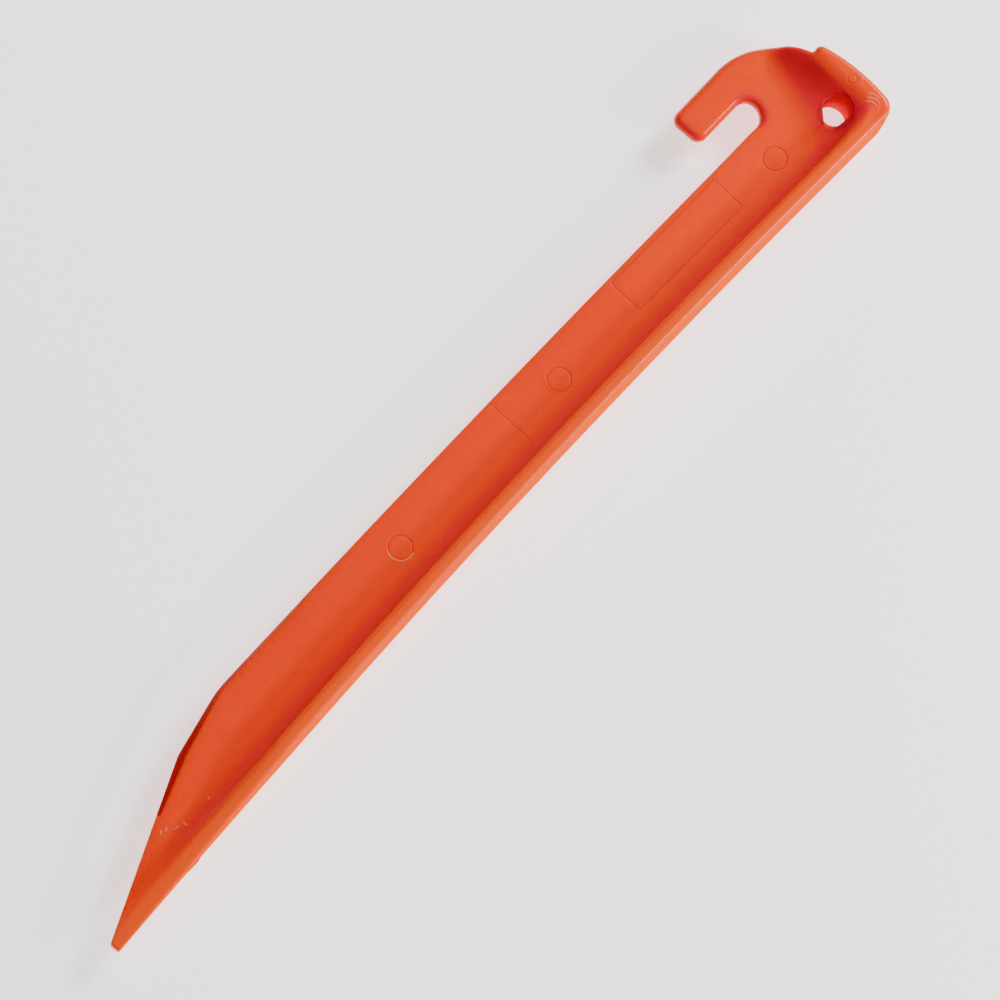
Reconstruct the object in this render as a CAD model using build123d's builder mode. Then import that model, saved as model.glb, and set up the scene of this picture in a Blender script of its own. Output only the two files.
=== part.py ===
from math import sqrt
import os

from build123d import *

os.makedirs("parts", exist_ok=True)

# A one-piece moulded tent stake, in millimetres.
# +X runs from the point to the head, +Y from the spine to the hook, +Z out of the web's face.
# The origin is the bottom centre of the stake's box as it lies with its web level.

# Overall
length = 305.0
rim_width = 18.8
web_thickness = 4.6
rim_thickness = 4.4
tip_x = -length / 2
crown_x = length / 2
mid = rim_width / 2
web_half = web_thickness / 2
clear = 12.0

# The spine's outer line: one shallow arc, then straight up to the head
spine_start = (tip_x, -14.7)
spine_mid = (-17.0, -14.25)
spine_turn = (118.0, -19.45)

# Web, from the point up to the slot
tip_width = 2.9
blade_kink = (-103.4, 7.3)
blade_shoulder = (-84.0, 10.9)
shoulder_radius = 30.0
web_bow = (15.0, 7.9)

# Hook and slot
slot_mouth_y = 3.6
slot_end_y = 2.9
slot_width = 7.7
slot_end_x = 128.7
slot_corner = 3.2
arm_end_x = 110.9
arm_outer_y = 21.262
arm_corner = 2.4
hook_top = (129.9, 20.65)
hook_side = (142.8, 14.9)
hook_root = (148.2, 4.6)
hook_round = 1.9

# Head plate
head_end_y = 4.6
head_drop = 1.6
head_corner_x = crown_x - head_drop
head_corner = 4.6
head_end_round = 1.6
rim_round = 1.5
rim_inner_round = 0.8

# Pocket between the web and the rims
pocket_fillet = 6.0
seam_x = 125.0
scoop_start = 3.3
scoop_radius = 28.0
hook_scoop_start = 9.0
hook_scoop_radius = 18.0
scoop_length = 24.0
scoop_spans = 6

# Eye through the head
eye_centre = (141.2, -9.9)
eye_radius = 3.9
eye_lip = 1.2

# Point: the rims slope down to it
slope_start_x = -86.0
tip_half = 1.5

# Bevel of the digging edge: its inner line on the web's face
bevel_line = [(-119.0, 0.4), (-103.4, 5.5), (-84.0, 9.4), (-50.5, 9.2)]
bevel_out = 8.0
bevel_depth = 2.2
bevel_slope = 45.0

# Shallow mould marks on the front face
mark_depth = 0.12
mark_line = 0.35
pin_radius = 3.2
pin_centres = [(121.0, -6.0), (37.7, -2.0), (-24.0, -0.1)]
plaque_centre = (85.9, -1.7)
plaque_length = 39.7
plaque_width = 10.3
plaque_turn = -3.0
insert_line_centre = (20.4, -0.7)
insert_line_length = 13.2
insert_line_turn = -2.2


def rise(x, start, radius):
    """How far a concave arc that leaves the web's face at start has risen at x."""
    run = max(x - start, 0.0)
    return radius - sqrt(radius**2 - run**2)


def both_faces(tool):
    """A tool for the front face, and its mirror image for the back."""
    front = tool.moved(Location((0, 0, mid)))
    return [front, mirror(front, about=Plane.XY.offset(mid))]


def rim_inside(point):
    """The point on the spine's inner face beside a point of its outer line."""
    return (point[0], point[1] + rim_thickness)


# The straight stretch goes on in the arc's direction
along = ThreePointArc(spine_start, spine_mid, spine_turn) % 1
across = Vector(-along.Y, along.X)


def straight_y(x):
    """The spine's outer line beyond its arc."""
    return spine_turn[1] + along.Y / along.X * (x - spine_turn[0])


seam = Vector(*rim_inside((seam_x, straight_y(seam_x))))
reach = arm_outer_y + clear - seam.Y
with BuildPart() as pocket:
    # Along the spine, with a round root
    with BuildSketch(Plane.XY.offset(web_half)):
        with BuildLine():
            ThreePointArc(rim_inside(spine_start), rim_inside(spine_mid), rim_inside(spine_turn))
            Polyline(
                rim_inside(spine_turn),
                seam,
                seam + across * reach,
                (tip_x, arm_outer_y + clear),
                rim_inside(spine_start),
            )
        make_face()
    extrude(amount=mid + clear)
    floor_edges = pocket.faces().sort_by(Axis.Z)[0].edges()
    fillet(floor_edges.sort_by(Axis.Y)[:2], radius=pocket_fillet)

with BuildPart() as scoop:
    # Under the head plate the floor rises in a long scoop, sooner at the spine than at the hook
    for station in range(scoop_spans + 1):
        run = scoop_length * station / scoop_spans
        floor = web_half + rise(run, scoop_start, scoop_radius)
        hook_floor = web_half + rise(run, hook_scoop_start, hook_scoop_radius)
        ceiling = web_half + mid + clear
        with BuildSketch(Plane(seam + along * run, x_dir=across, z_dir=along)):
            with BuildLine():
                FilletPolyline((reach, hook_floor), (0, floor), (0, ceiling), radius=pocket_fillet)
                Polyline((0, ceiling), (reach, ceiling), (reach, hook_floor))
            make_face()
    loft()

with BuildPart() as stake:
    # The whole plan, as thick as the rims
    with BuildSketch(Plane.XY.offset(mid)) as outline:
        with BuildLine():
            ThreePointArc(spine_start, spine_mid, spine_turn)
            Line(spine_turn, (head_corner_x, straight_y(head_corner_x)))
            ThreePointArc(
                (head_corner_x, straight_y(head_corner_x)),
                (crown_x, (straight_y(head_corner_x) + head_end_y) / 2),
                (head_corner_x, head_end_y),
            )
            Line((head_corner_x, head_end_y), hook_root)
            ThreePointArc(hook_root, hook_side, hook_top)
            Polyline(
                hook_top,
                (arm_end_x, arm_outer_y),
                (arm_end_x, slot_mouth_y + slot_width),
                (slot_end_x, slot_end_y + slot_width),
                (slot_end_x, slot_end_y),
                (arm_end_x, slot_mouth_y),
            )
            ThreePointArc((arm_end_x, slot_mouth_y), web_bow, blade_shoulder)
            Polyline(
                blade_shoulder,
                blade_kink,
                (tip_x, spine_start[1] + tip_width),
                spine_start,
            )
        make_face()
        arm_tips = outline.vertices().filter_by(lambda v: abs(v.X - arm_end_x) < 0.1 and v.Y > slot_mouth_y + 1)
        fillet(arm_tips, radius=arm_corner)
        slot_ends = outline.vertices().filter_by(lambda v: abs(v.X - slot_end_x) < 0.1)
        fillet(slot_ends, radius=slot_corner)
        shoulders = outline.vertices().filter_by(lambda v: abs(v.X - blade_shoulder[0]) < 0.1)
        fillet(shoulders, radius=shoulder_radius)
        spine_corner = outline.vertices().filter_by(lambda v: abs(v.X - head_corner_x) < 0.1).sort_by(Axis.Y)[0]
        fillet(spine_corner, radius=head_corner)
        hook_corner = outline.vertices().filter_by(lambda v: abs(v.X - head_corner_x) < 0.1).sort_by(Axis.Y)[-1]
        fillet(hook_corner, radius=head_end_round)
    extrude(amount=mid, both=True)

    # A pocket on each face, between the web and the rims
    for tool in both_faces(pocket.part) + both_faces(scoop.part):
        add(tool, mode=Mode.SUBTRACT)

    # The rims slope down to the tip
    with BuildSketch(Plane.XZ):
        for up in (1, -1):
            with BuildLine():
                Polyline(
                    (slope_start_x, mid + up * (mid + clear)),
                    (slope_start_x, mid + up * mid),
                    (tip_x, mid + up * tip_half),
                    (tip_x - clear, mid + up * tip_half),
                    (tip_x - clear, mid + up * (mid + clear)),
                    close=True,
                )
            make_face()
    extrude(amount=arm_outer_y + clear, both=True, mode=Mode.SUBTRACT)

    # The eye goes through the head
    with Locations((*eye_centre, mid)):
        Hole(radius=eye_radius, depth=rim_width)

    # Rounded lips of the eye
    bore = stake.faces().filter_by(GeomType.CYLINDER).filter_by(lambda face: abs(face.radius - eye_radius) < 0.01)
    lips = bore.edges().filter_by(lambda edge: abs((edge % 0.5).Z) < 0.8)
    fillet(lips, radius=eye_lip)

    # Rounded edges round the hook and the slot
    walls = stake.faces().filter_by(lambda face: abs(face.normal_at().Z) < 0.01)
    hook_walls = walls.filter_by(
        lambda face: arm_end_x - 1 < face.center().X < hook_root[0] and face.center().Y > slot_end_y
    )
    fillet(hook_walls.edges().filter_by(lambda edge: abs((edge % 0.5).Z) < 0.8), radius=hook_round)

    # Rounded edges of both rims, outside and then inside
    for end in (0, -1):
        rim_edges = stake.faces().filter_by(Axis.Z).sort_by(Axis.Z)[end].edges()
        fillet(rim_edges.sort_by(SortBy.LENGTH)[-2:].sort_by(Axis.Y)[0], radius=rim_round)
        rim_edges = stake.faces().filter_by(Axis.Z).sort_by(Axis.Z)[end].edges()
        fillet(rim_edges.sort_by(SortBy.LENGTH)[-2:].sort_by(Axis.Y)[-1], radius=rim_inner_round)

    # The digging edge is bevelled on both faces
    with BuildPart(mode=Mode.PRIVATE) as bevel:
        with BuildSketch(Plane.XY.offset(web_half)):
            with BuildLine():
                Polyline(*bevel_line, *[(x, y + bevel_out) for x, y in reversed(bevel_line)], close=True)
            make_face()
        extrude(amount=-bevel_depth, taper=bevel_slope)
    for tool in both_faces(bevel.part):
        add(tool, mode=Mode.SUBTRACT)

    # Mould marks
    with BuildSketch(Plane.XY.offset(mid + web_half)):
        with Locations(*pin_centres):
            Circle(pin_radius)
            Circle(pin_radius - mark_line, mode=Mode.SUBTRACT)
    extrude(amount=-mark_depth, mode=Mode.SUBTRACT)
    with BuildSketch(Plane.XY.offset(mid + web_half)):
        with Locations(Location((*plaque_centre, 0), (0, 0, plaque_turn))):
            RectangleRounded(plaque_length, plaque_width, mark_line * 2)
            RectangleRounded(
                plaque_length - 2 * mark_line, plaque_width - 2 * mark_line, mark_line, mode=Mode.SUBTRACT
            )
        with Locations(Location((*insert_line_centre, 0), (0, 0, insert_line_turn))):
            Rectangle(mark_line, insert_line_length)
    extrude(amount=-mark_depth, mode=Mode.SUBTRACT)

stake.part.label = "stake_body"
export_step(stake.part, "parts/stake_body.step")
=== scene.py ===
import math

import bpy
import numpy as np
from mathutils import Matrix, Vector
from mathutils.geometry import delaunay_2d_cdt


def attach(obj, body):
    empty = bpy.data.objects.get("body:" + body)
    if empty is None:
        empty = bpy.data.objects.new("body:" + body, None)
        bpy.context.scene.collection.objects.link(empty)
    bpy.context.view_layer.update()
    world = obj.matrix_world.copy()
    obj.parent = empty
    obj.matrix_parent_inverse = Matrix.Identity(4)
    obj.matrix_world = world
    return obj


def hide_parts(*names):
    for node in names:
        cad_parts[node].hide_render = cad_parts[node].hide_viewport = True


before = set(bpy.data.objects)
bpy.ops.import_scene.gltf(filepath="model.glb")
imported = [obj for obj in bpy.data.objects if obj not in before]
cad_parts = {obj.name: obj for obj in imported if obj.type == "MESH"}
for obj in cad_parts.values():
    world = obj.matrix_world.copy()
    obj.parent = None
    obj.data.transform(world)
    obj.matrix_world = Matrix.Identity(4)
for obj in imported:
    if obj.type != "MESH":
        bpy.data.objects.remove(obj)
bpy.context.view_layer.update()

MM = 0.001

# ---------------------------------------------------------------- dimensions, in millimetres
mid = 9.4  # height of the parting plane
web = 2.3  # half of the web's thickness
rim = 4.4  # thickness of the spine
root_radius = 6.0  # fillet between the web and the spine
tip_x, tip_half = -152.5, 1.5
slope_x = -86.0  # where the spine starts to slope down to the point
spine_start, spine_mid, spine_turn = (tip_x, -14.7), (-17.0, -14.25), (118.0, -19.45)
head_x, crown_x, head_end_y = 150.9, 152.5, 4.6
plate_x = 147.3  # inner face of the struck plate
plate_foot = (148.2, head_end_y)
hook_back, hook_top = (142.8, 14.9), (129.9, 20.65)
arm_top, arm_low = (110.9, 21.262), (110.9, 11.3)
slot_high, slot_low = (128.7, 10.6), (128.7, 2.9)
web_head, web_middle, web_knee = (110.9, 3.6), (15.0, 7.9), (-84.0, 10.9)
dig_knee, dig_end = (-103.4, 7.3), (tip_x, -11.8)
eye, eye_radius = (141.2, -9.9), 3.9
pins, pin_radius = [(121.0, -6.0), (37.7, -2.0), (-24.0, -0.1)], 3.2
plaque_centre, plaque_half, plaque_tall, plaque_turn = (85.9, -1.7), 19.75, 5.05, -3.0
bevel_at_x = [-119.4, -119.0, -103.4, -84.0, -52.0, -50.3]
bevel_widths = [0.0, 0.9, 1.9, 1.05, 0.8, 0.0]
tiny = 1e-12  # keeps a division defined where a length is zero


# ---------------------------------------------------------------- plan curves
def circle_of(a, b, c):
    """Centre and radius of the circle through three points."""
    (ax, ay), (bx, by), (cx, cy) = a, b, c
    k = 2 * (ax * (by - cy) + bx * (cy - ay) + cx * (ay - by))
    ux = ((ax**2 + ay**2) * (by - cy) + (bx**2 + by**2) * (cy - ay) + (cx**2 + cy**2) * (ay - by)) / k
    uy = ((ax**2 + ay**2) * (cx - bx) + (bx**2 + by**2) * (ax - cx) + (cx**2 + cy**2) * (bx - ax)) / k
    return np.array([ux, uy]), math.hypot(ax - ux, ay - uy)


def arc(a, b, c, step):
    """Points along the arc from a through b to c."""
    centre, radius = circle_of(a, b, c)
    angle = [math.atan2(p[1] - centre[1], p[0] - centre[0]) for p in (a, b, c)]
    turn = (angle[2] - angle[0]) % (2 * math.pi)
    if (angle[1] - angle[0]) % (2 * math.pi) > turn:
        turn -= 2 * math.pi
    n = max(2, math.ceil(abs(turn) * radius / step))
    t = angle[0] + turn * np.linspace(0, 1, n + 1)
    return centre + radius * np.stack([np.cos(t), np.sin(t)], 1)


def line(a, b, step):
    """Points along a straight line."""
    a, b = np.array(a, float), np.array(b, float)
    n = max(1, math.ceil(np.linalg.norm(b - a) / step))
    return a + (b - a) * np.linspace(0, 1, n + 1)[:, None]


def lengths(path):
    """Length along a path at each of its points."""
    return np.concatenate([[0], np.cumsum(np.linalg.norm(np.diff(path, axis=0), axis=1))])


def cut(path, low, high):
    """The stretch of a path between two lengths along it."""
    at = lengths(path)
    keep = path[(at > low + 1e-6) & (at < high - 1e-6)]
    ends = [[np.interp(v, at, path[:, 0]), np.interp(v, at, path[:, 1])] for v in (low, high)]
    return np.concatenate([[ends[0]], keep, [ends[1]]])


def unit(v):
    return v / np.linalg.norm(v)


def joined(pieces):
    """A closed outline of (path, corner radius at its end) pieces, with rounded corners."""
    paths = [p for p, _ in pieces]
    starts, ends = [0.0] * len(paths), [lengths(p)[-1] for p in paths]
    corners = []
    for i, (path, radius) in enumerate(pieces):
        j = (i + 1) % len(paths)
        u, v = unit(path[-1] - path[-2]), unit(paths[j][1] - paths[j][0])
        turn = math.atan2(u[0] * v[1] - u[1] * v[0], u @ v)
        back = radius * abs(math.tan(turn / 2))
        ends[i] -= back
        starts[j] = back
        corners.append((turn, radius))
    trimmed = [cut(p, a, b) for p, a, b in zip(paths, starts, ends)]
    out = []
    for i, path in enumerate(trimmed):
        out.extend(path)
        turn, radius = corners[i]
        a, b = path[-1], trimmed[(i + 1) % len(trimmed)][0]
        n = max(2, math.ceil(abs(turn) * radius / 0.3), math.ceil(abs(turn) / 0.2))
        # a circular arc from a to b that leaves along u
        u = unit(path[-1] - path[-2])
        normal = np.array([-u[1], u[0]]) * (1 if turn > 0 else -1)
        size = np.linalg.norm(b - a) / (2 * math.sin(abs(turn / 2)) + tiny)
        for k in range(1, n):
            swept = turn * (k / n)
            out.append(a + u * size * math.sin(abs(swept)) + normal * size * (1 - math.cos(swept)))
    out = np.array(out)
    gaps = np.linalg.norm(out - np.roll(out, 1, axis=0), axis=1)
    return out[gaps > 0.02]


spine_arc = arc(spine_start, spine_mid, spine_turn, 1.0)
along = unit(spine_arc[-1] - spine_arc[-2])
head_corner = (head_x, spine_turn[1] + along[1] / along[0] * (head_x - spine_turn[0]))
crown_mid = (crown_x, (head_corner[1] + head_end_y) / 2)
outline = joined(
    [
        (spine_arc, 40.0),
        (line(spine_turn, head_corner, 0.8), 4.6),
        (arc(head_corner, crown_mid, (head_x, head_end_y), 0.6), 1.9),
        (line((head_x, head_end_y), plate_foot, 0.3), 0.5),
        (arc(plate_foot, hook_back, hook_top, 0.5), 6.0),
        (line(hook_top, arm_top, 0.8), 2.7),
        (line(arm_top, arm_low, 0.5), 2.7),
        (line(arm_low, slot_high, 0.8), 3.2),
        (line(slot_high, slot_low, 0.3), 4.2),
        (line(slot_low, web_head, 0.7), 30.0),
        (arc(web_head, web_middle, web_knee, 1.0), 30.0),
        (line(web_knee, dig_knee, 0.6), 4.0),
        (line(dig_knee, dig_end, 0.6), 1.0),
        (line(dig_end, spine_start, 0.3), 0.7),
    ]
)
count = len(outline)
tangent = np.roll(outline, -1, axis=0) - np.roll(outline, 1, axis=0)
tangent /= np.linalg.norm(tangent, axis=1)[:, None]
inward = np.stack([-tangent[:, 1], tangent[:, 0]], 1)

spine_centre, spine_radius = circle_of(spine_start, spine_mid, spine_turn)
spine_side = 1.0 if spine_centre[1] > spine_mid[1] else -1.0


def spine_depth(p):
    """How far a point lies inside the spine's outer line."""
    curved = spine_side * (spine_radius - np.hypot(p[:, 0] - spine_centre[0], p[:, 1] - spine_centre[1]))
    off = p - np.array(spine_turn)
    straight = -off[:, 0] * along[1] + off[:, 1] * along[0]
    return np.where(off @ along > 0, straight, curved)


def smooth(start, end, value):
    """Goes softly from 0 at start to 1 at end."""
    t = np.clip((value - start) / (end - start), 0, 1)
    return t * t * (3 - 2 * t)


# ---------------------------------------------------------------- edge rounding round the outline
x, y = outline[:, 0], outline[:, 1]
web_edge, tip_edge, head_edge, hook_edge, arm_end_edge = 0.3, 0.5, 1.5, 1.95, 2.2
spine_edge_gain = 1.0  # how much rounder the spine's edge is along the shank than at the point
slot_edge_gain = 1.75  # how much rounder the web's edge is at the slot's end than before it


def bevel_width(along_x):
    """Width of the bevel of the digging edge."""
    return np.interp(along_x, bevel_at_x, bevel_widths)


edge = np.full(count, web_edge)
on_spine = (spine_depth(outline) < 0.3) & (x > -151.8)
edge[on_spine] = (tip_edge + spine_edge_gain * smooth(-150, -84, x))[on_spine]
on_head = (x > 147.5) & (y < 5.2)
edge[on_head] = head_edge
on_hook = (y > 2.4) & (x > 108) & ~on_head
slot_side = (y < 5.2) & (x < 129.5)
hook_radius = np.where(slot_side, web_edge + slot_edge_gain * smooth(121.5, 127.0, x), hook_edge)
hook_radius = np.where((x < 113.3) & (y > 9), arm_end_edge, hook_radius)
edge[on_hook] = hook_radius[on_hook]
edge[(x < -151.0)] = tip_edge
bevel = bevel_width(x)
bevel[(y < 0.5) & ~((x > -121) & (x < -117))] = 0
bevel[(y < -5)] = 0
kernel = np.array([1, 4, 6, 4, 1]) / 16
for _ in range(3):
    edge = sum(w * np.roll(edge, s) for w, s in zip(kernel, (-2, -1, 0, 1, 2)))

# ---------------------------------------------------------------- the face's height
scoop_y = np.array([-30.0, -15.0, -9.5, -4.0, 2.0, 8.0, 12.0, 16.0, 22.0])
scoop_from = np.array([127.0, 127.0, 127.8, 129.8, 133.2, 135.6, 138.0, 141.2, 145.0])
scoop_rise = mid - web  # how far the scoop climbs to the plate
scoop_least_radius, scoop_steepest = 10.4, 0.72


def floor_height(p):
    """The web's face, which climbs in a scoop to the plate."""
    start = sum(np.interp(p[:, 1] + s, scoop_y, scoop_from) for s in (-2.4, -1.2, 0, 1.2, 2.4)) / 5
    run = np.maximum(p[:, 0] - start, 0)
    reach = np.maximum(plate_x - start, 1.0)
    radius = np.maximum((reach**2 + scoop_rise**2) / (2 * scoop_rise), scoop_least_radius)
    curved = np.minimum(run, radius * math.sin(scoop_steepest))
    return web + radius - np.sqrt(radius**2 - curved**2) + (run - curved) * math.tan(scoop_steepest)


def rim_height(p):
    """The rim's top, which slopes down to the point."""
    s = (p[:, 0] - slope_x) / (tip_x - slope_x)
    soft = 0.018
    s = (s + np.sqrt(s * s + 4 * soft * soft)) / 2
    lean_slope, lean_width = 0.075, 3.2
    lean = lean_slope * np.clip(lean_width - spine_depth(p), 0, lean_width) * smooth(149.0, 144.0, p[:, 0])
    return mid - (mid - tip_half) * s - lean


def face_height(p):
    """Height above the web's mid-plane, leaving out the edge rounding, by bisection of a blended solid."""
    d, floor, top = spine_depth(p), floor_height(p), rim_height(p)
    crest = 1.7 - 0.2 * smooth(-84, -100, p[:, 0])
    root_draft = 0.02
    low, high = np.full(len(p), 0.2), np.full(len(p), mid + 0.2)
    for _ in range(34):
        z = (low + high) / 2
        a = z - floor
        b = d - rim + (z - web) * root_draft
        blend = np.maximum(root_radius, np.minimum(a, b)) - np.hypot(
            np.maximum(root_radius - a, 0), np.maximum(root_radius - b, 0)
        )
        c = z - top
        inside = np.minimum(-crest, np.maximum(blend, c)) + np.hypot(
            np.maximum(crest + blend, 0), np.maximum(crest + c, 0)
        )
        high = np.where(inside > 0, z, high)
        low = np.where(inside > 0, low, z)
    return (low + high) / 2


def from_path(p, path, closed=False):
    """Distance from each point to a path."""
    a = path if closed else path[:-1]
    b = np.roll(path, -1, axis=0) if closed else path[1:]
    best = np.full(len(p), 1e9)
    ab = b - a
    size = np.maximum((ab**2).sum(1), tiny)
    for low in range(0, len(p), 4000):
        q = p[low : low + 4000]
        ap = q[:, None, :] - a[None, :, :]
        t = np.clip((ap * ab).sum(2) / size, 0, 1)
        off = ap - t[..., None] * ab
        best[low : low + 4000] = np.sqrt((off**2).sum(2).min(1))
    return best


def ring(centre, radius, low=0.0, high=360.0, step=0.35):
    """Points round a circle, or round part of one, between two angles in degrees."""
    n = max(8, math.ceil(math.radians(high - low) * radius / step))
    t = np.radians(np.linspace(low, high, n + 1))
    return np.array(centre) + radius * np.stack([np.cos(t), np.sin(t)], 1)


def plaque():
    """Outline of the empty plaque, which is turned a little against the shank."""
    half, tall, turn = plaque_half, plaque_tall, math.radians(plaque_turn)
    corners = [(-half, -tall), (half, -tall), (half, tall), (-half, tall)]
    sides = [line(corners[i], corners[(i + 1) % 4], 0.5) for i in range(4)]
    flat = joined(list(zip(sides, (0.3, 0.3, 0.3, 1.2))))
    flat = np.concatenate([flat, flat[:1]])
    c, s = math.cos(turn), math.sin(turn)
    return flat @ np.array([[c, s], [-s, c]]) + np.array(plaque_centre)


# Each mark of the front face is (path, width, depth or height).
# pin circles, plaque, the insert's line, a line beside the eye, the plate's pin and two scratches
marks = [
    (ring(pins[0], pin_radius), 0.14, 0.13),
    (ring(pins[1], pin_radius), 0.14, 0.12),
    (ring(pins[2], pin_radius), 0.14, 0.12),
    (plaque(), 0.15, 0.085),
    (line((20.15, -7.3), (20.65, 5.9), 0.4), 0.13, 0.08),
    (line((128.2, -8.9), (136.0, -9.05), 0.4), 0.12, 0.05),
    (ring((149.1, -7.75), 1.2, 0, 360, 0.2), 0.11, 0.10),
    (line((-28.6, -1.2), (-25.4, -3.9), 0.3), 0.10, 0.05),
    (line((-27.9, -1.0), (-24.9, -3.5), 0.3), 0.10, 0.05),
]
# raised flash beside the pin circles, whitened beside the one nearest to the point
whitened_flash = [(ring(pins[2], 3.5, 150, 285, 0.3), 0.14, 0.13)]
plain_flash = [
    (ring(pins[1], 3.6, 130, 260, 0.3), 0.14, 0.09),
    (ring((149.0, -8.1), 2.2, 215, 330, 0.25), 0.14, 0.10),
]
# the torn gate on the plate, and a fainter edge beside it
torn_gate = [
    (arc((147.7, -13.9), (148.6, -15.2), (148.7, -16.9), 0.25), 0.13, 0.22),
    (arc((146.9, -14.4), (147.6, -15.6), (147.7, -17.0), 0.25), 0.13, 0.20),
    (arc((149.1, -13.6), (149.6, -14.6), (149.6, -15.9), 0.25), 0.12, 0.16),
]
gate_edge = [(arc((148.5, -17.2), (147.8, -17.8), (146.9, -18.1), 0.25), 0.12, 0.12)]
# a faint crease towards the point
crease = [(line((-142.5, -10.3), (-131.0, -9.5), 0.5), 0.22, 0.05)]
ridges = whitened_flash + plain_flash + torn_gate + gate_edge + crease
# small nicks whitened by the ground
nicks = [
    (line((-122.2, -2.6), (-121.8, -2.2), 0.2), 0.13, 0.10),
    (line((-120.7, -3.2), (-120.3, -2.8), 0.2), 0.13, 0.10),
    (line((-118.8, -4.7), (-118.0, -4.8), 0.2), 0.10, 0.05),
    (line((-116.4, -6.1), (-116.4, -5.5), 0.2), 0.15, 0.12),
    (line((-107.3, -6.0), (-107.1, -5.8), 0.2), 0.12, 0.08),
]


def front_marks(p):
    """How far the marks raise or lower the front face."""
    change = np.zeros(len(p))
    for group, sign in ((marks, -1.0), (ridges, 1.0), (nicks, 1.0)):
        for path, width, depth in group:
            low, high = path.min(0) - 1.0, path.max(0) + 1.0
            near = np.all((p > low) & (p < high), axis=1)
            if near.any():
                change[near] += sign * depth * np.exp(-((from_path(p[near], path) / width) ** 2))
    return change


def edge_sag(p, inset):
    """The web thins a little towards the digging edge."""
    sag, sag_width = 0.28, 4.5
    where = smooth(-30, -60, p[:, 0]) * smooth(-148, -125, p[:, 0]) * (spine_depth(p) > 7)
    return -sag * where * np.clip(1 - inset / sag_width, 0, 1) ** 2


# ---------------------------------------------------------------- rings of the border and of the eye
rings = 8
quarter = np.linspace(0, math.pi / 2, rings)
is_bevel = bevel > 0.05
bevel_run = 1.08  # the rings run a little past the bevel, onto the face
border, drop = [], []
for t in quarter:
    f = t / (math.pi / 2)
    inset = np.where(is_bevel, bevel * f * bevel_run, edge * (1 - math.cos(t)))
    fall = np.where(is_bevel, bevel * np.clip(1 - f * bevel_run, 0, 1), edge * (1 - math.sin(t)))
    border.append(outline + inward * inset[:, None])
    drop.append(fall)
eye_count = 96
eye_turn = np.linspace(0, 2 * math.pi, eye_count, endpoint=False)
eye_out = np.stack([np.cos(eye_turn), np.sin(eye_turn)], 1)
least_lip, lip_gain = 0.45, 0.85  # the eye's rounded lip is broadest on the side away from the plate
lip = least_lip + lip_gain * smooth(0.25, -0.6, np.cos(eye_turn - 0.3))
eye_rings, eye_drop = [], []
for t in quarter:
    eye_rings.append(np.array(eye) + eye_out * (eye_radius + lip * (1 - math.cos(t)))[:, None])
    eye_drop.append(lip * (1 - math.sin(t)))

# ---------------------------------------------------------------- points of the face between them
points = []


def spread(p):
    """Adds points to the face."""
    points.append(np.asarray(p, float))


# rows along the spine, closer together where the surface turns
depths = [1.75, 2.0, 2.25, 2.5, 2.75, 3.0, 3.2, 3.4, 3.58, 3.74, 3.89, 4.02, 4.13, 4.24, 4.35]
depths += [rim + root_radius * (1 - math.sin(t)) for t in np.radians(np.arange(82, -1, -5.5))]
depths += [10.9, 11.6, 12.6]
head_from = 124.5  # the finer grid of the head starts here
spine_line = np.concatenate([spine_arc[:-1], line(spine_turn, head_corner, 1.0)])
spine_tan = np.gradient(spine_line, axis=0)
spine_tan /= np.linalg.norm(spine_tan, axis=1)[:, None]
spine_in = np.stack([-spine_tan[:, 1], spine_tan[:, 0]], 1)
for depth in sorted(set(round(v, 3) for v in depths)):
    row = spine_line + spine_in * depth
    spread(row[row[:, 0] < head_from])


def grid(x0, x1, y0, y1, step):
    """Points of a triangular grid."""
    xs, ys = np.arange(x0, x1, step), np.arange(y0, y1, step * 0.87)
    gx, gy = np.meshgrid(xs, ys)
    gx = gx + (np.arange(len(ys))[:, None] % 2) * step / 2
    return np.stack([gx.ravel(), gy.ravel()], 1)


spread(grid(head_from, 153, -22, 22, 0.42))
shank = grid(-150, head_from, -3.2, 22, 2.4)
spread(shank[shank[:, 0] < head_from - 0.5])
spread(grid(-150, web_knee[0], -15, 12, 1.1))
# plain points make room for the rows along each mark
plain = np.concatenate(points)
for group in (marks, ridges, nicks):
    for path, width, _ in group:
        room = 2.7 * width
        near = np.all((plain > path.min(0) - room) & (plain < path.max(0) + room), axis=1)
        crowded = np.zeros(len(plain), bool)
        crowded[near] = from_path(plain[near], path) < room
        plain = plain[~crowded]
points = [plain]
for group in (marks, ridges, nicks):
    for path, width, _ in group:
        step = np.gradient(path, axis=0)
        step /= np.maximum(np.linalg.norm(step, axis=1), 1e-9)[:, None]
        side = np.stack([-step[:, 1], step[:, 0]], 1)
        for off in (-2.3, -1.3, -0.6, 0, 0.6, 1.3, 2.3):
            spread(path + side * off * width)


def thinned(p, gap):
    """Drops points closer together than gap, keeping the later ones, which carry the marks."""
    seen, keep = set(), []
    for i in range(len(p) - 1, -1, -1):
        key = (round(p[i, 0] / gap), round(p[i, 1] / gap))
        if key not in seen:
            seen.add(key)
            keep.append(i)
    return p[np.array(keep[::-1])]


inner = thinned(np.concatenate(points), 0.055)
inner_line = border[-1]


def within(p, loop):
    """Whether each point is inside a closed loop, by crossings."""
    out = np.zeros(len(p), bool)
    ax, ay = loop[:, 0], loop[:, 1]
    bx, by = np.roll(ax, -1), np.roll(ay, -1)
    for low in range(0, len(p), 8000):
        q = p[low : low + 8000]
        above = (ay[None, :] > q[:, 1:2]) != (by[None, :] > q[:, 1:2])
        cross = ax + (q[:, 1:2] - ay) / np.where(by == ay, tiny, by - ay) * (bx - ax)
        out[low : low + 8000] = (above & (q[:, 0:1] < cross)).sum(1) % 2 == 1
    return out


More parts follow.
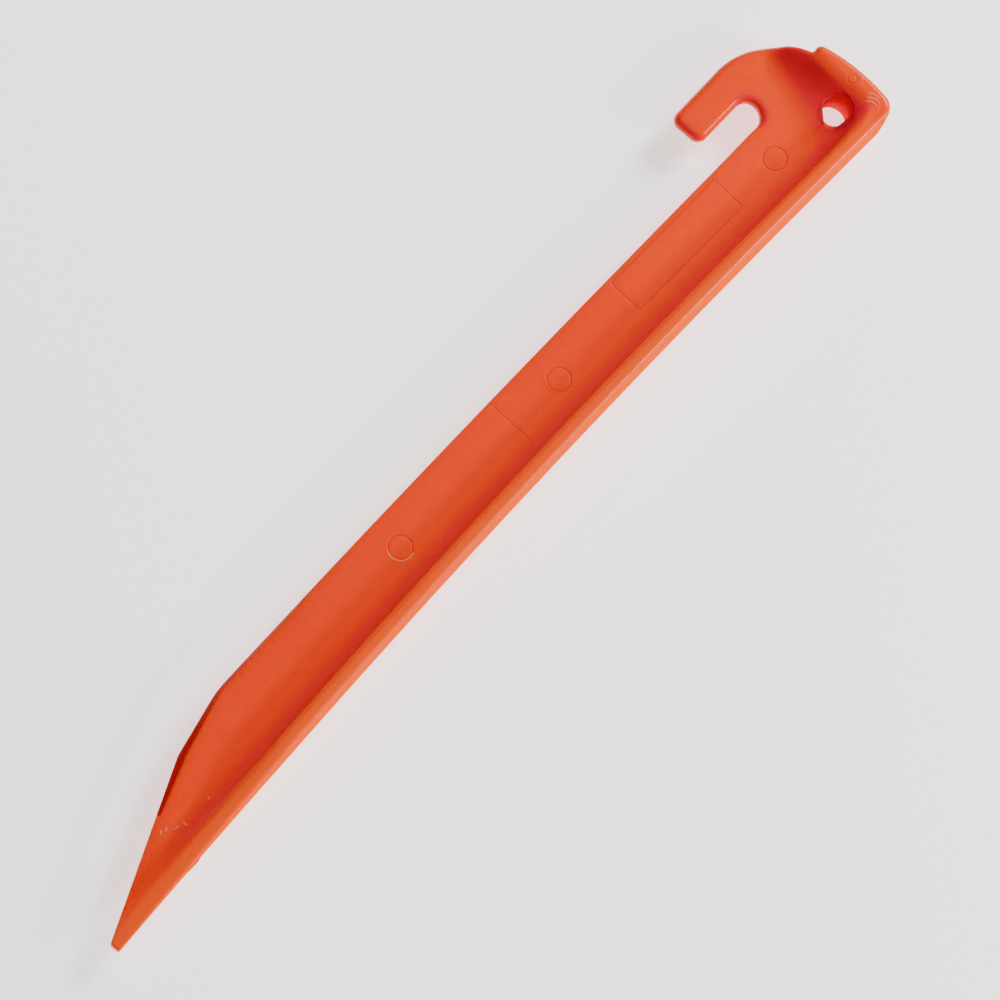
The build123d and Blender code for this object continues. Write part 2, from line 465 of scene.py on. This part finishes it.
border_room, eye_room = 0.12, 0.15  # how far the face's own points stay from the rings
inner = inner[within(inner, inner_line)]
inner = inner[from_path(inner, inner_line, closed=True) > border_room]
eye_distance = np.linalg.norm(inner - np.array(eye), axis=1)
turn_of = np.arctan2(inner[:, 1] - eye[1], inner[:, 0] - eye[0]) % (2 * math.pi)
lip_at = np.interp(turn_of, np.append(eye_turn, 2 * math.pi), np.append(lip, lip[0]))
inner = inner[eye_distance > eye_radius + lip_at + eye_room]

# ---------------------------------------------------------------- triangles of the face
loop_points = np.concatenate([inner_line, eye_rings[-1], inner])
edges = [(i, (i + 1) % count) for i in range(count)]
edges += [(count + i, count + (i + 1) % eye_count) for i in range(eye_count)]
made = delaunay_2d_cdt([Vector(p) for p in loop_points], edges, [], 0, 1e-6)
flat = np.array([tuple(v) for v in made[0]])
source = [o[0] if len(o) else -1 for o in made[3]]
faces = np.array([f for f in made[2] if len(f) == 3])
middle = flat[faces].mean(1)
outside_eye = np.linalg.norm(middle - np.array(eye), axis=1) > eye_radius
faces = faces[within(middle, inner_line) & outside_eye]

# ---------------------------------------------------------------- vertices of the whole moulding
verts, polygons = [], []
total = 0


def add_points(p, z):
    """Adds vertices and returns the index of the first."""
    global total
    first = total
    verts.append(np.column_stack([p, z]))
    total += len(p)
    return first


def face_side(front):
    """One face of the moulding. Returns where its outer loop and its eye loop start."""
    sign = 1.0 if front else -1.0

    def height(p, fall, inset):
        z = face_height(p) + edge_sag(p, inset) - fall
        return sign * (z + (front_marks(p) if front else 0.0))

    firsts = []
    for k in range(rings):
        dist = np.linalg.norm(border[k] - outline, axis=1)
        firsts.append(add_points(border[k], height(border[k], drop[k], dist)))
    far = np.full(eye_count, 9.0)  # the eye is well away from the digging edge
    eyes = [add_points(eye_rings[k], height(eye_rings[k], eye_drop[k], far)) for k in range(rings)]
    index = np.zeros(len(flat), int)
    fresh = []
    for i, s in enumerate(source):
        if 0 <= s < count:
            index[i] = firsts[-1] + s
        elif 0 <= s < count + eye_count:
            index[i] = eyes[-1] + s - count
        else:
            index[i] = -1 - len(fresh)
            fresh.append(i)
    p = flat[fresh]
    first = add_points(p, height(p, 0.0, from_path(p, outline, closed=True)))
    index = np.where(index < 0, first - 1 - index, index)
    tri = index[faces]
    polygons.extend(tri.tolist() if front else tri[:, ::-1].tolist())
    for loops, n, flip in ((firsts, count, front), (eyes, eye_count, not front)):
        for k in range(rings - 1):
            for i in range(n):
                j = (i + 1) % n
                q = [loops[k] + i, loops[k] + j, loops[k + 1] + j, loops[k + 1] + i]
                polygons.append(q if flip else q[::-1])
    return firsts[0], eyes[0]


front_edge, front_eye = face_side(True)
back_edge, back_eye = face_side(False)
heights = np.concatenate(verts)[:, 2]
edge_z = heights[front_edge : front_edge + count]
eye_z = heights[front_eye : front_eye + eye_count]


def joined_rows(rows, n, outwards):
    """Joins neighbouring rows of n points each into a closed wall."""
    for a, b in zip(rows, rows[1:]):
        for i in range(n):
            j = (i + 1) % n
            polygons.append([a + j, a + i, b + i, b + j] if outwards else [a + i, a + j, b + j, b + i])


# side wall, with draft out to the parting line and a hair of flash on it, which is a small fin near the point
wall_draft, flash_line, flash_fin = 0.014, 0.035, 0.4
fin_place = smooth(-127.5, -121.5, outline[:, 0]) * smooth(-119.6, -120.3, outline[:, 0]) * on_spine
flash = flash_line + flash_fin * fin_place
rows = [front_edge]
for f in (0.8, 0.55, 0.3, 0.1, 0.03, 0.0, -0.03, -0.1, -0.3, -0.55, -0.8):
    z = edge_z * f
    out = (edge_z - abs(z)) * wall_draft + (flash if f == 0 else 0.0)
    rows.append(add_points(outline - inward * out[:, None], z))
rows.append(back_edge)
joined_rows(rows, count, True)

# wall of the eye, a little tighter at the parting line, with the tool's ridges
eye_draft, eye_flash = 0.012, 0.03
ridge_height, ridge_width, ridge_levels = 0.05, 0.28, (4.4, 6.2)
rows = [front_eye]
for f in np.linspace(0.93, -0.93, 27):
    z = eye_z * f
    ridge = sum(ridge_height * np.exp(-(((np.abs(z) - v) / ridge_width) ** 2)) for v in ridge_levels)
    tight = (eye_z - abs(z)) * eye_draft + ridge + (eye_flash if abs(f) < 0.01 else 0.0)
    rows.append(add_points(np.array(eye) + eye_out * (eye_radius - tight)[:, None], z))
rows.append(back_eye)
joined_rows(rows, eye_count, False)

co = np.concatenate(verts)
co[:, 2] += mid
mesh = bpy.data.meshes.new("stake_moulding")
mesh.from_pydata((co * MM).tolist(), [], polygons)
mesh.validate()
mesh.update()
for polygon in mesh.polygons:
    polygon.use_smooth = True

# ---------------------------------------------------------------- masks of the surface, from 0 to 1
plan, level = co[:, :2], np.abs(co[:, 2] - mid)
px, py = plan[:, 0], plan[:, 1]
depth = spine_depth(plan)
rim_gap = from_path(plan, outline, closed=True)
eye_gap = np.linalg.norm(plan - np.array(eye), axis=1) - eye_radius
lift = floor_height(plan) - web
past_rim = smooth(3.9, 5.2, depth)
on_front = co[:, 2] > mid


def polish_mask():
    """Where the tool was polished: the rim's top, every rounded edge and, more weakly, the plate."""
    rim_top, edges = smooth(3.6, 2.4, depth), smooth(2.6, 1.2, rim_gap)
    return np.maximum(np.maximum(rim_top, edges), 0.3 * smooth(6.0, 7.0, level - web))


def painted_rim_light_mask():
    """Painted light: a brighter orange on the rim's top, up to the plate, where it catches more light."""
    return smooth(4.6, 3.2, depth) * smooth(151.0, 140.0, px)


def painted_bevel_shade_mask():
    """Painted shade on the bevel of the digging edge, which faces away from the light, fainter towards the
    middle of the stake.
    """
    on_bevel = smooth(1.1, 0.85, rim_gap / np.maximum(bevel_width(px), 1e-3)) * (depth > 6.5)
    return on_bevel * (1.0 - 0.6 * smooth(-100.0, -62.0, px))


def wall_mask():
    """Walls without reflection: the spine's outer wall, the arm's by the slot, the eye's and the bevel."""
    at_edge = smooth(0.45, 0.2, rim_gap)
    arm_wall = at_edge * smooth(9.9, 10.2, py) * smooth(11.8, 11.5, py)
    outer = (smooth(0.5, 0.1, depth) + arm_wall).clip(0, 1) * at_edge
    return np.maximum(np.maximum(outer, smooth(0.25, 0.05, eye_gap)), painted_bevel_shade_mask())


def painted_shade_mask():
    """Painted shade: a deeper red in the spine's root, round the eye, in the scoop and at the ends of the
    slot and the arm.
    """
    root = (0.6 + 0.35 * smooth(118, 130, px)) * past_rim * smooth(9.6, 6.2, depth)
    round_eye = 0.75 * smooth(6.6, 1.6, eye_gap) * smooth(4.0, 5.2, depth)
    along_shank = smooth(-134, -112, px) * smooth(148.5, 145.5, px)
    scoop = smooth(0.2, 1.7, lift) * smooth(7.0, 5.6, lift) * past_rim
    red = np.maximum(np.maximum(root, round_eye) * along_shank, scoop)
    red *= 0.25 + 0.75 * smooth(0.0, 1.0, rim_gap)
    slot_end = smooth(123.0, 128.0, px) * smooth(0.0, 2.4, py) * smooth(14.5, 11.5, py)
    slot_end *= smooth(3.6, 1.0, rim_gap) * smooth(136.0, 132.0, px)
    arm_end = smooth(113.6, 111.6, px) * smooth(9.5, 10.5, py)
    return np.maximum(red, 0.9 * np.maximum(slot_end, arm_end))


def scuff_mask():
    """Plastic whitened where it was torn or knocked."""
    spread_out = 1.3
    white = np.zeros(len(co))
    for path, width, _ in nicks + whitened_flash + torn_gate:
        white = np.maximum(white, np.exp(-((from_path(plan, path) / (width * spread_out)) ** 2)))
    return white * on_front


def painted_groove_shade_mask():
    """Painted shade in the sunk marks of the front, and a dark line along the parting line all round."""
    full_depth, seam_width, seam_strength = 0.1, 0.14, 0.8
    sunk = np.zeros(len(co))
    for path, width, mark_depth in marks:
        strength = min(1.0, mark_depth / full_depth)
        sunk = np.maximum(sunk, strength * np.exp(-((from_path(plan, path) / width) ** 2)))
    seam = np.exp(-((level / seam_width) ** 2))
    return np.maximum(sunk * on_front, seam_strength * seam)


masks = {
    "polish": polish_mask(),
    # painted glow: crimson in the eye's bore, for light shining through the plastic and bouncing round the
    # bore
    "painted_eye_glow": smooth(0.9, 0.05, eye_gap),
    "scuff": scuff_mask(),
    "wall": wall_mask(),
    "painted_hollow_shade": painted_shade_mask(),
    "painted_groove_shade": painted_groove_shade_mask(),
    "painted_bevel_shade": painted_bevel_shade_mask(),
    "painted_rim_light": painted_rim_light_mask(),
}
for name, values in masks.items():
    layer = mesh.attributes.new(name, "FLOAT", "POINT")
    layer.data.foreach_set("value", values.astype(np.float32))
moulding = bpy.data.objects.new("stake_moulding", mesh)
bpy.context.scene.collection.objects.link(moulding)

# ---------------------------------------------------------------- materials


def node(tree, kind, **values):
    """A new node with its properties set."""
    made_node = tree.nodes.new(kind)
    for name, value in values.items():
        setattr(made_node, name, value)
    return made_node


deep_orange, bright_orange = (0.90, 0.036, 0.0, 1), (0.98, 0.056, 0.0, 1)
dark_mottle = (0.84, 0.026, 0.0, 1)
rim_light_orange, hollow_shade_red = (0.98, 0.088, 0.0, 1), (0.86, 0.008, 0.026, 1)
groove_shade_brown, bevel_shade_maroon = (0.55, 0.012, 0.004, 1), (0.40, 0.005, 0.010, 1)
eye_glow_crimson, scuff_white = (0.85, 0.0, 0.035, 1), (0.95, 0.42, 0.22, 1)


def plastic():
    """Slightly translucent orange plastic, satin on the web and glossier where the tool was polished."""
    mat = bpy.data.materials.new("orange_plastic")
    mat.use_nodes = True
    t = mat.node_tree
    link = t.links.new
    shader = t.nodes["Principled BSDF"]
    where = node(t, "ShaderNodeTexCoord")

    def noise(scale, detail, stretch=(1, 1, 1)):
        mapping = node(t, "ShaderNodeMapping")
        mapping.inputs["Scale"].default_value = stretch
        link(where.outputs["Object"], mapping.inputs["Vector"])
        made_noise = node(t, "ShaderNodeTexNoise")
        made_noise.inputs["Scale"].default_value = scale
        made_noise.inputs["Detail"].default_value = detail
        link(mapping.outputs["Vector"], made_noise.inputs["Vector"])
        return made_noise.outputs["Fac"]

    def attribute(name):
        made_attribute = node(t, "ShaderNodeAttribute", attribute_name=name)
        return made_attribute.outputs["Fac"]

    def span(value, low, high, to_low, to_high):
        made_span = node(t, "ShaderNodeMapRange")
        for name, v in zip(("From Min", "From Max", "To Min", "To Max"), (low, high, to_low, to_high)):
            made_span.inputs[name].default_value = v
        link(value, made_span.inputs["Value"])
        return made_span.outputs["Result"]

    def mixed(factor, a, b):
        made_mix = node(t, "ShaderNodeMix", data_type="RGBA")
        for socket, v in ((made_mix.inputs[6], a), (made_mix.inputs[7], b)):
            if isinstance(v, tuple):
                socket.default_value = v
            else:
                link(v, socket)
        link(factor, made_mix.inputs[0])
        return made_mix.outputs[2]

    def maths(operation, a, b):
        made_maths = node(t, "ShaderNodeMath", operation=operation)
        for socket, v in ((made_maths.inputs[0], a), (made_maths.inputs[1], b)):
            if isinstance(v, (int, float)):
                socket.default_value = v
            else:
                link(v, socket)
        return made_maths.outputs[0]

    # colour: streaks of the flow, a fine mottle, then the tints of the masks: painted light on the rim,
    # painted shade in hollows, grooves and on the bevel, a painted glow in the eye, and whitened scuffs
    flow = noise(30, 4, (0.35, 1, 1))
    mottle = noise(420, 3)
    grain = noise(2400, 2)
    colour = mixed(span(flow, 0.3, 0.7, 0, 1), deep_orange, bright_orange)
    colour = mixed(span(mottle, 0.35, 0.75, 0, 0.35), colour, dark_mottle)
    # painted light: a brighter orange on the rim's top
    colour = mixed(maths("MULTIPLY", attribute("painted_rim_light"), 0.8), colour, rim_light_orange)
    # painted shade in the root, round the eye, in the scoop and at the slot's and arm's ends
    colour = mixed(attribute("painted_hollow_shade"), colour, hollow_shade_red)
    # painted shade in the sunk marks, and a dark line on the parting line
    colour = mixed(maths("MULTIPLY", attribute("painted_groove_shade"), 0.6), colour, groove_shade_brown)
    # painted shade on the bevel of the digging edge
    colour = mixed(maths("MULTIPLY", attribute("painted_bevel_shade"), 0.85), colour, bevel_shade_maroon)
    # painted glow: crimson inside the eye's bore
    colour = mixed(attribute("painted_eye_glow"), colour, eye_glow_crimson)
    colour = mixed(maths("MULTIPLY", attribute("scuff"), 0.55), colour, scuff_white)
    link(colour, shader.inputs["Base Color"])

    # gloss: satin, and glossier where the tool was polished
    satin = span(flow, 0.3, 0.7, 0.44, 0.52)
    glossy = span(mottle, 0.3, 0.7, 0.20, 0.29)
    blend = node(t, "ShaderNodeMix", data_type="FLOAT")
    link(attribute("polish"), blend.inputs[0])
    link(satin, blend.inputs[2])
    link(glossy, blend.inputs[3])
    link(blend.outputs[0], shader.inputs["Roughness"])

    # light scattered inside, and reflection, which the steep walls lack
    shader.inputs["Subsurface Weight"].default_value = 0.3
    shader.inputs["Subsurface Radius"].default_value = (0.004, 0.0009, 0.0003)
    shader.inputs["Subsurface Scale"].default_value = 1.0
    shader.inputs["IOR"].default_value = 1.46
    gleam = span(attribute("polish"), 0, 1, 0.24, 0.5)
    off_walls = span(attribute("wall"), 0, 1, 1.0, 0.0)
    link(maths("MULTIPLY", gleam, off_walls), shader.inputs["Specular IOR Level"])
    shader.inputs["Specular Tint"].default_value = (1.0, 0.5, 0.2, 1)

    # a slight unevenness, with less grain where the tool was polished
    fine = maths("MULTIPLY", grain, maths("SUBTRACT", 1.0, maths("MULTIPLY", attribute("polish"), 0.7)))
    wave = maths("ADD", maths("MULTIPLY", fine, 2.0), maths("MULTIPLY", mottle, 1.2))
    bump = node(t, "ShaderNodeBump")
    bump.inputs["Strength"].default_value = 0.35
    bump.inputs["Distance"].default_value = 0.00006
    link(wave, bump.inputs["Height"])
    link(bump.outputs["Normal"], shader.inputs["Normal"])
    return mat


mesh.materials.append(plastic())
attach(moulding, "root")
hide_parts("stake_body")

# ---------------------------------------------------------------- floor, lights and camera
floor_half, floor_z = 2, -0.0005
floor_corners = [(floor_half * i, floor_half * j, floor_z) for i, j in ((-1, -1), (1, -1), (1, 1), (-1, 1))]
floor_mesh = bpy.data.meshes.new("floor")
floor_mesh.from_pydata(floor_corners, [], [(0, 1, 2, 3)])
floor = bpy.data.objects.new("floor", floor_mesh)
bpy.context.scene.collection.objects.link(floor)
floor_mat = bpy.data.materials.new("floor_white")
floor_mat.use_nodes = True
floor_shader = floor_mat.node_tree.nodes["Principled BSDF"]
floor_shader.inputs["Base Color"].default_value = (0.9, 0.9, 0.9, 1)
floor_shader.inputs["Roughness"].default_value = 0.9
floor_shader.inputs["Emission Color"].default_value = (1, 1, 1, 1)
floor_shader.inputs["Emission Strength"].default_value = 1.3
floor_mesh.materials.append(floor_mat)


def lamp(name, place, aim, size, power):
    """A rectangular area light at a place, turned to what it aims at."""
    data = bpy.data.lights.new(name, "AREA")
    data.shape = "RECTANGLE"
    data.size, data.size_y = size
    data.energy = power
    obj = bpy.data.objects.new(name, data)
    bpy.context.scene.collection.objects.link(obj)
    obj.location = place
    obj.rotation_euler = (Vector(aim) - Vector(place)).to_track_quat("-Z", "Y").to_euler()


view = Vector((-0.259, -0.060, 0.965)).normalized()
target = Vector((0.0, 0.0, 0.0094))
distance, sensor, frame_width = 3.0, 36, 0.258
shift_along, shift_across = 0.00355, -0.0111
# the stake's +X runs up and to the right in the view, at this angle
flat_x = (Vector((1, 0, 0)) - view * view.x).normalized()
flat_y = view.cross(flat_x)
turn = math.radians(48.526)
right = flat_x * math.cos(turn) - flat_y * math.sin(turn)
up = flat_x * math.sin(turn) + flat_y * math.cos(turn)
camera_data = bpy.data.cameras.new("camera")
camera = bpy.data.objects.new("camera", camera_data)
bpy.context.scene.collection.objects.link(camera)
basis = Matrix((right, up, view)).transposed()
centre = target + flat_x * shift_along + flat_y * shift_across
camera.matrix_world = Matrix.Translation(centre + view * distance) @ basis.to_4x4()
camera_data.lens = sensor * distance / frame_width
camera_data.sensor_width = sensor
camera_data.dof.use_dof = False
bpy.context.scene.camera = camera

# a soft key light from the head's end, two low lights beside the spine and a weak fill from above
lamp("key", (1.9, -0.29, 1.65), target, (0.83, 0.83), 74)
lamp("side_strip", (0.42, -0.95, 0.62), (0.05, -0.01, 0.0094), (0.20, 0.16), 8)
lamp("low_side", (0.30, -0.95, 0.16), target, (0.5, 0.05), 1.6)
lamp("fill", (-0.35, -0.05, 1.3), target, (1.0, 0.7), 1.0)
world = bpy.data.worlds.new("studio")
world.use_nodes = True
world.node_tree.nodes["Background"].inputs["Color"].default_value = (1, 1, 1, 1)
world.node_tree.nodes["Background"].inputs["Strength"].default_value = 0.18
bpy.context.scene.world = world
